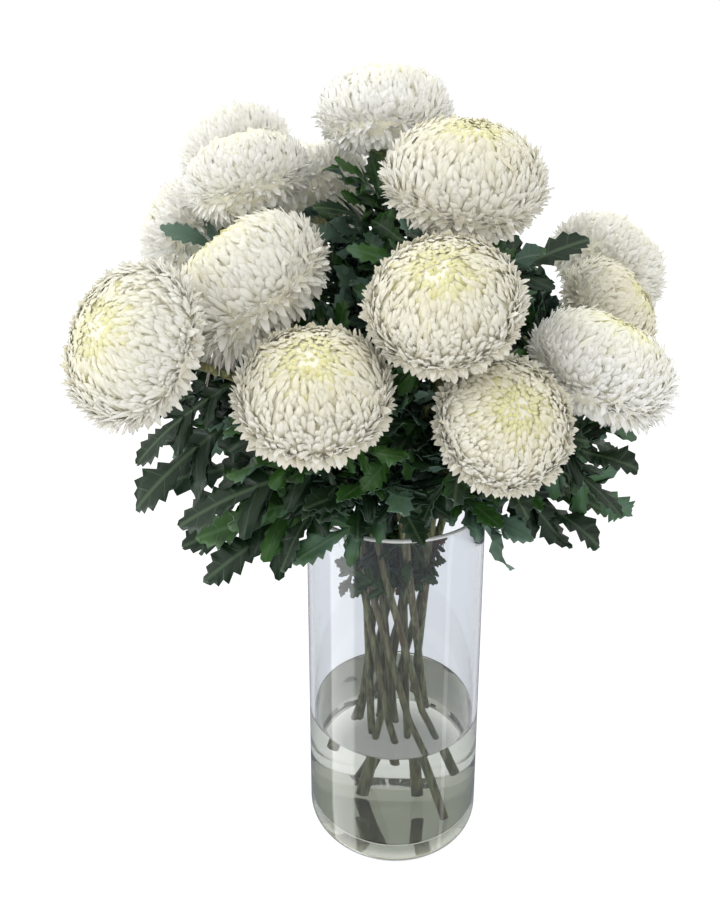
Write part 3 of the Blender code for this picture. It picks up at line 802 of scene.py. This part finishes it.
# Lobes of one half of a leaf: root on the midrib, lean from it, length and width, as the leaf's length is 1
LEAF_LOBES = [(0.20, 50.0, 0.270, 0.052), (0.42, 46.0, 0.330, 0.060)]
LEAF_COLUMNS = np.array([-1.0, -0.55, 0.0, 0.55, 1.0])
SMALL_LEAF_COLUMNS = np.array([-1.0, 0.0, 1.0])
BLADE_FROM = 2  # the blade starts after this point of the edge
STALK_HALF, BLADE_HALF = 1.3, 0.22  # half the thickness of a leaf's stalk and blade, mm
# The cup of bracts under a head: radius as a share of the seat's, and height along the head's axis in mm
CUP = [(0.42, -4.0), (0.66, -2.6), (0.90, -0.6), (0.96, 1.2), (0.70, 2.0), (0.30, 4.0), (0.05, 4.6)]


def leaf_edge():
    """Half of a leaf's edge from stalk to tip, and where on the midrib the vein to each point starts:
    two toothed lobes and the longer lobe at the end."""
    edge = [(0.0, 0.022, 0.0), (0.08, 0.019, 0.08), (0.15, 0.022, 0.145)]
    for root, lean, long, wide in LEAF_LOBES:
        a = math.radians(lean)
        for side in (1, -1):
            steps = (0.34, 0.46, 0.58, 0.70, 0.80, 0.90, 0.985)
            for k, t in enumerate(steps if side > 0 else steps[::-1]):
                tooth = 1.0 + (0.26 if (k + (side < 0)) % 2 else -0.18)
                half = wide * math.sin(math.pi * min(t, 1.0) ** 0.95) ** 0.55 * tooth
                reach = long * (1.0 if side > 0 else 0.985)
                x = root + reach * t * math.cos(a) - side * half * math.sin(a)
                y = reach * t * math.sin(a) + side * half * math.cos(a)
                edge.append((x, y, root + (x - root - y / math.tan(a)) * 0.55))
        edge.append((root + 0.175, 0.036, root + 0.160))
    for x, y in [(0.635, 0.048), (0.665, 0.046), (0.712, 0.092), (0.735, 0.062), (0.795, 0.118),
                 (0.815, 0.080), (0.878, 0.108), (0.892, 0.066), (0.942, 0.070), (0.952, 0.036),
                 (0.982, 0.030), (0.998, 0.006)]:
        edge.append((x, y, x - 0.55 * y))
    for i in range(1, len(edge)):
        x, y, rib = edge[i]
        edge[i] = (x, y, min(max(rib, edge[i - 1][2] + 0.004), 0.997))
    return edge


LEAF_EDGE = leaf_edge()


def leaf_mesh(root, tip, roll, draws, columns, curl=1.0):
    """A leaf with the CAD's spine, fold and lobes, and with teeth, a midrib and a wavy edge."""
    axes = leaf_axes(root, tip, roll)
    length = axes[3]
    phase, wave = draws.uniform(0, 6.28), draws.uniform(0.012, 0.035) * curl
    twist = draws.normal(0, 0.10) * curl
    top, under, flat = [], [], []
    for i, (x_edge, y_edge, x_rib) in enumerate(LEAF_EDGE):
        for v in columns:
            w = abs(v)
            x = x_rib + (x_edge - x_rib) * w
            y = y_edge * v
            if i <= BLADE_FROM:
                ripple, above = 0.0, STALK_HALF * math.sqrt(max(0.0, 1 - 0.9 * v * v))
                below = above
            else:
                ripple = length * wave * w * w * math.sin(17.0 * x_edge + phase + (0.9 if v < 0 else 0.0))
                ripple += length * twist * y * x - length * 0.25 * curl * y * y * (1 if wave > 0.02 else 0)
                above = BLADE_HALF
                # The midrib stands out below and thins towards the tip
                below = BLADE_HALF + 0.55 * max(0.0, 1 - abs(y) / 0.018) * (1 - x)
            top.append(leaf_point(root, axes, x, y, ripple + above))
            under.append(leaf_point(root, axes, x, y, ripple - below))
            flat.append((x, y))
    return top + under, flat + flat


def inside_a_head(p):
    """Whether a point lies in any flower head, each taken a little smaller."""
    for key, (centre, axis, diameter, _, _) in HEADS.items():
        away = p - Vector(centre)
        height = away.dot(Vector(axis).normalized())
        tall = heights_of(key)[0 if height > 0 else 1]
        flat = math.sqrt(max(away.length_squared - height * height, 0.0))
        if math.hypot(flat, height / tall) < diameter / 2 * HEAD_ROOM:
            return True
    return False


def clear_of_heads(root, tip, roll):
    axes = leaf_axes(root, tip, roll)
    places = ((1, 0), (0.6, 0.25), (0.6, -0.25), (0.34, 0.22), (0.34, -0.22), (0.7, 0))
    return not any(inside_a_head(leaf_point(root, axes, x, y, 0)) for x, y in places)


def small_leaves(key, draws):
    """Smaller leaves between the CAD's, clear of the heads."""
    path, _ = stem_path(key)
    found = []
    for i in range(SMALL_LEAVES):
        at = 2.3 + (len(path) - 4.5) * (i + 0.5) / SMALL_LEAVES
        root = path[int(at)].lerp(path[int(at) + 1], at % 1)
        for _ in range(24):
            turn = draws.uniform(0, 2 * math.pi)
            out = outwards(root, turn, draws.uniform(-0.75, 0.35), 0.3)
            tip = root + out * draws.uniform(62, 92)
            roll = draws.normal(0, 0.7)
            near = abs(tip.x) < SMALL_REACH[0] and abs(tip.y) < SMALL_REACH[1]
            if near and tip.z > SMALL_LOWEST and clear_of_heads(root, tip, roll):
                found.append((root, tip, roll))
                break
    return found


def gap_leaves(key, draws):
    """Leaves that close the gaps between the heads, turned a little where one is in the way."""
    path, _ = stem_path(key)
    found = []
    for tip in map(Vector, GAP_LEAVES.get(key, [])):
        root = leaf_root(path, tip, draws.uniform(56, 84), [row[0] for row in found])
        end = limited(root, tip)
        for _ in range(12):
            roll = draws.normal(0, 0.5)
            if clear_of_heads(root, end, roll):
                found.append((root, end, roll))
                break
            yaw, pitch = draws.uniform(-24, 24), draws.uniform(-24, 24)
            end = turned(root, limited(root, tip), yaw, pitch, 0.94)
    return found


def neck_leaves(key, draws):
    """Small leaves that hang along the stem between the vase's rim and its waist."""
    path, _ = stem_path(key)
    found = [(path[1].lerp(path[2], 0.5), Vector(tip), 0.3) for tip in NECK_TIPS.get(key, [])]
    for _ in range(NECK_LEAVES_EACH):
        root = path[1].lerp(path[2], draws.uniform(0.45, 0.95))
        for _ in range(12):
            turn = draws.uniform(0, 2 * math.pi)
            out = Vector((math.cos(turn), math.sin(turn), draws.uniform(-1.6, 0.2))).normalized()
            tip = root + out * draws.uniform(42, 62)
            if math.hypot(tip.x, tip.y) < NECK_REACH and tip.z > NECK_LOWEST:
                found.append((root, tip, draws.normal(0, 0.8)))
                break
    return found


def leafy_stem(key, head, leaf_materials, stalk_made_of):
    """The leaves of a stem as one piece, whose first material is the upper face's, and its stalk."""
    draws = np.random.default_rng(500 + int(key))
    points, quads, slots, flat, lot = [], [], [], [], []
    leaves = leaves_of(key)
    extra = gap_leaves(key, draws) + small_leaves(key, draws) + neck_leaves(key, draws)
    for k, (root, tip, roll) in enumerate(leaves + extra):
        columns, curl = (LEAF_COLUMNS, 1.0) if k < len(leaves) else (SMALL_LEAF_COLUMNS, 2.0)
        outside, inside, rim = slab_faces(len(LEAF_EDGE), len(columns))
        body, places = leaf_mesh(root, tip, roll, draws, columns, curl)
        start = len(points)
        points += body
        flat += places
        chance, withered = draws.random(), 0.0
        # Leaves in the vase's neck are drawn towards the middle greens, lighter than most: painted light
        # against the shade in the neck behind the glass. Some of them are withered
        if root.z < VASE_HEIGHT:
            withered = 0.9 if chance > 0.78 else 0.0
            chance = 0.36 + 0.30 * chance
        lot += [(chance, withered)] * len(body)
        quads += [outside + start, inside + start, rim + start]
        slots += [0] * len(outside) + [1] * (len(inside) + len(rim))
    uvs = {"leaf": flat, "lot": lot}
    blades = mesh_object("leaves_" + key, points, np.concatenate(quads), leaf_materials, uvs, slots)
    stalk = stalk_mesh(key, head, [root for root, _, _ in leaves + extra], stalk_made_of)
    for piece in (blades, stalk):
        show_as(piece, "stem_" + key)


def ridged_ring(centre, side, other, radius, ridge):
    """Points around a centre, by turns a little farther out and in."""
    turns = [(2 * math.pi * k / STALK_SIDES, 1.0 + ridge * (-1) ** k) for k in range(STALK_SIDES)]
    return [centre + (side * math.cos(a) + other * math.sin(a)) * (radius * r) for a, r in turns]


def stalk_mesh(key, head, roots, made_of):
    """A ridged stalk, swollen where leaves join it, with the cup of bracts under the head."""
    path, axis = stem_path(key, steps=34, straight=16)
    frames = frames_along(path)
    radius = head[2] / 2
    count = len(path)
    points = []
    for i, (centre, (direction, side)) in enumerate(zip(path, frames)):
        other = direction.cross(side)
        size = STEM_RADIUS * (1.0 - 0.22 * i / count)
        size *= 1 + sum(0.28 * math.exp(-((centre - root).length / 3.0) ** 2) for root in roots)
        ring = ridged_ring(centre, side, other, size, 0.045)
        if i == 0:  # the foot is cut level
            ring = [p - direction * ((p.z - centre.z) / direction.z) for p in ring]
        points += ring
    seat_distance, seat_level = head_surface(key, radius * (1 - FLORET_DEPTH), SEAT_ANGLE)
    seat = Vector(head[0]) + axis * seat_level
    side = (frames[-1][1] - axis * frames[-1][1].dot(axis)).normalized()
    other = axis.cross(side)
    for wide, rise in CUP:
        points += ridged_ring(seat + axis * rise, side, other, seat_distance * wide, 0.05)
    rows = count + len(CUP)
    piece = mesh_object("stalk_" + key, points, tube_faces(rows, STALK_SIDES), [made_of])
    close_ends(piece, STALK_SIDES, rows)
    return piece


# Vase and water


def glass_vase(materials):
    """A thick-based cylinder with a rounded heel and a polished rim, the second material."""
    rim = WALL / 2
    inside = VASE_RADIUS - WALL
    profile = [(0, 0.0), (40.0, 0.0)]
    profile += arc((VASE_RADIUS - HEEL, HEEL), HEEL, -90, 0, 8)
    profile += [(VASE_RADIUS, z) for z in (40.0, 100.0, 160.0, 220.0, 270.0)]
    profile += arc((VASE_RADIUS - rim, VASE_HEIGHT - rim), rim, 0, 180, 8)
    profile += [(inside, z) for z in (270.0, 220.0, 160.0, 100.0, 40.0)]
    profile += arc((inside - INNER_HEEL, BASE + INNER_HEEL), INNER_HEEL, 0, -90, 6)
    profile += [(35.0, BASE), (0, BASE)]
    rim_from = VASE_HEIGHT - rim - 0.01
    show_as(lathe("glass_cylinder", profile, materials, lambda z: z >= rim_from), "vase")


def clear_water(material):
    """Water that reaches a little into the glass, so that no air shows between them."""
    into_glass = 0.08
    side, floor = VASE_RADIUS - WALL + into_glass, BASE - into_glass
    profile = [(0, floor), (35.0, floor)]
    profile += arc((side - INNER_HEEL, floor + INNER_HEEL), INNER_HEEL, -90, 0, 6)
    profile += [(side, 60.0), (side, WATER_LEVEL - 0.2), (side, WATER_LEVEL + 1.2)]
    # The surface climbs the glass in a small curve
    profile += [(side - 0.5, WATER_LEVEL + 0.7), (side - 1.4, WATER_LEVEL + 0.25)]
    profile += [(side - 3.0, WATER_LEVEL), (40.0, WATER_LEVEL), (0, WATER_LEVEL)]
    show_as(lathe("still_water", profile, [material]), "water")


# Stage


def pale_floor():
    """A pale floor, dimmer right under the vase as a painted shadow, and not mirrored in glass and water."""
    n = new_material("pale_floor")
    n.put(n.shader, "Base Color", n.mix(n.noise(3.0), (0.10, 0.10, 0.10), (0.12, 0.12, 0.12)))
    n.surface({"Roughness": 0.8, "Emission Color": (1.0, 1.0, 1.0, 1.0)})
    x, y, _ = n.split(n.place())
    # Painted shadow: the floor's glow is dimmer in a disc right under the vase
    n.put(n.shader, "Emission Strength", n.map_range(n.from_axis(x, y), 0.050, 0.073, 0.50, 0.97))
    far, level = 6000.0, -0.2
    corners = [(-far, -far, level), (far, -far, level), (far, far, level), (-far, far, level)]
    floor = mesh_object("floor", corners, [(0, 1, 2, 3)], [n.owner])
    floor.visible_glossy = False


def studio_world():
    """A white studio. Its lower half, which only glass and water mirror because the floor hides it, is
    darker, with one tall window of light at the left and a narrow one at the right."""
    n = Nodes(bpy.data.worlds.new("studio"))
    bpy.context.scene.world = n.owner
    x, y, z = n.split(n.place("Generated"))
    turn = n.math("DIVIDE", y, n.math("MAXIMUM", n.from_axis(x, y), 0.001))
    below = n.smooth(z, -0.12, -0.35)

    def window(middle, outer, inner, from_x, to_x):
        """A band of directions around a turn, on one side of the studio."""
        off = n.math("ABSOLUTE", n.math("ADD", turn, middle))
        return n.times(n.smooth(off, outer, inner), n.smooth(x, from_x, to_x))

    left = n.times(window(0.26, 0.36, 0.26, -0.1, -0.3), WINDOW_LIGHT)
    right = n.times(window(0.35, 0.06, 0.04, 0.1, 0.3), WINDOW_LIGHT * 0.35)
    glow = n.times(n.math("ADD", left, right), below)
    far_side = n.times(n.smooth(y, 0.10, 0.40), n.smooth(z, 0.22, 0.36))
    upper = n.mix(far_side, (1.0, 1.0, 1.0), (0.56, 0.58, 0.53))
    dimmed = n.mix(below, upper, (0.20, 0.22, 0.27))
    grey = n.add("ShaderNodeCombineColor", {0: glow, 1: glow, 2: glow}).outputs[0]
    background = n.tree.nodes["Background"]
    n.put(background, "Color", n.mix(1.0, dimmed, grey, "ADD"))
    n.put(background, "Strength", 1.0)


def panel(name, at, size, energy, colour):
    """A soft light that the glass doesn't mirror."""
    light = bpy.data.lights.new(name, "AREA")
    light.shape = "RECTANGLE"
    light.size, light.size_y = size
    light.energy = energy
    light.color = colour
    made = bpy.data.objects.new(name, light)
    made.location = at
    made.rotation_euler = (BOUQUET_MIDDLE - Vector(at)).to_track_quat("-Z", "Y").to_euler()
    bpy.context.scene.collection.objects.link(made)
    made.visible_camera = made.visible_glossy = made.visible_transmission = False


def camera():
    data = bpy.data.cameras.new("camera")
    data.sensor_width = 36.0
    data.lens = 36.0 * FOCAL_PIXELS / PICTURE_HEIGHT
    data.shift_y = -(PICTURE_HEIGHT / 2 - LEVEL_PIXEL) / PICTURE_HEIGHT
    data.clip_start = 0.01
    made = bpy.data.objects.new("camera", data)
    made.location = CAMERA_AT
    made.rotation_euler = (math.radians(90 - CAMERA_TILT), 0, 0)
    bpy.context.scene.collection.objects.link(made)
    bpy.context.scene.camera = made


def main():
    # Colours of petals: root, body and tip of each, then the crown of the head
    petals = petal_material(
        "white_petal", (0.93, 0.905, 0.77), (0.945, 0.93, 0.85), (0.955, 0.945, 0.89), (0.93, 0.895, 0.62)
    )
    young = petal_material(
        "young_petal", (0.82, 0.79, 0.38), (0.89, 0.865, 0.52), (0.91, 0.89, 0.60), (0.83, 0.81, 0.36)
    )
    # Colours of leaves: dark, fresh and pale ones, then the veins. The pale teal-grey of the upper faces is
    # partly a paler leaf and partly painted sheen, the white studio mirrored on glossy leaves
    upper = leaf_material(
        "leaf_upper", (0.008, 0.024, 0.009), (0.030, 0.098, 0.014), (0.110, 0.190, 0.140),
        (0.13, 0.21, 0.11), 0.40, 0.35,
    )
    under = leaf_material(
        "leaf_under", (0.060, 0.115, 0.085), (0.085, 0.150, 0.115), (0.140, 0.225, 0.175),
        (0.22, 0.30, 0.22), 0.6, 0.6,
    )
    stalk = stalk_material()
    rim = clear_material("polished_rim", (1.0, 1.0, 1.0), 0.35, 1.47, 0.25)
    glass_vase([clear_material("clear_glass", (0.79, 0.812, 0.845), 0.0, 1.45), rim])
    clear_water(clear_material("clear_water", (0.90, 0.895, 0.77), 0.0, 1.33))
    for key, head in HEADS.items():
        white_petals(key, head, petals)
        young_petals(key, head, young)
        leafy_stem(key, head, [upper, under], stalk)
    pale_floor()
    studio_world()
    panel("window", (-2.1, -0.5, 1.6), (1.4, 1.8), 19.0, (1.0, 1.0, 1.0))
    panel("top", (0.2, 1.1, 2.2), (1.6, 1.6), 25.0, (1.0, 0.99, 0.97))
    camera()
    bpy.context.scene.view_settings.view_transform = "Standard"


main()
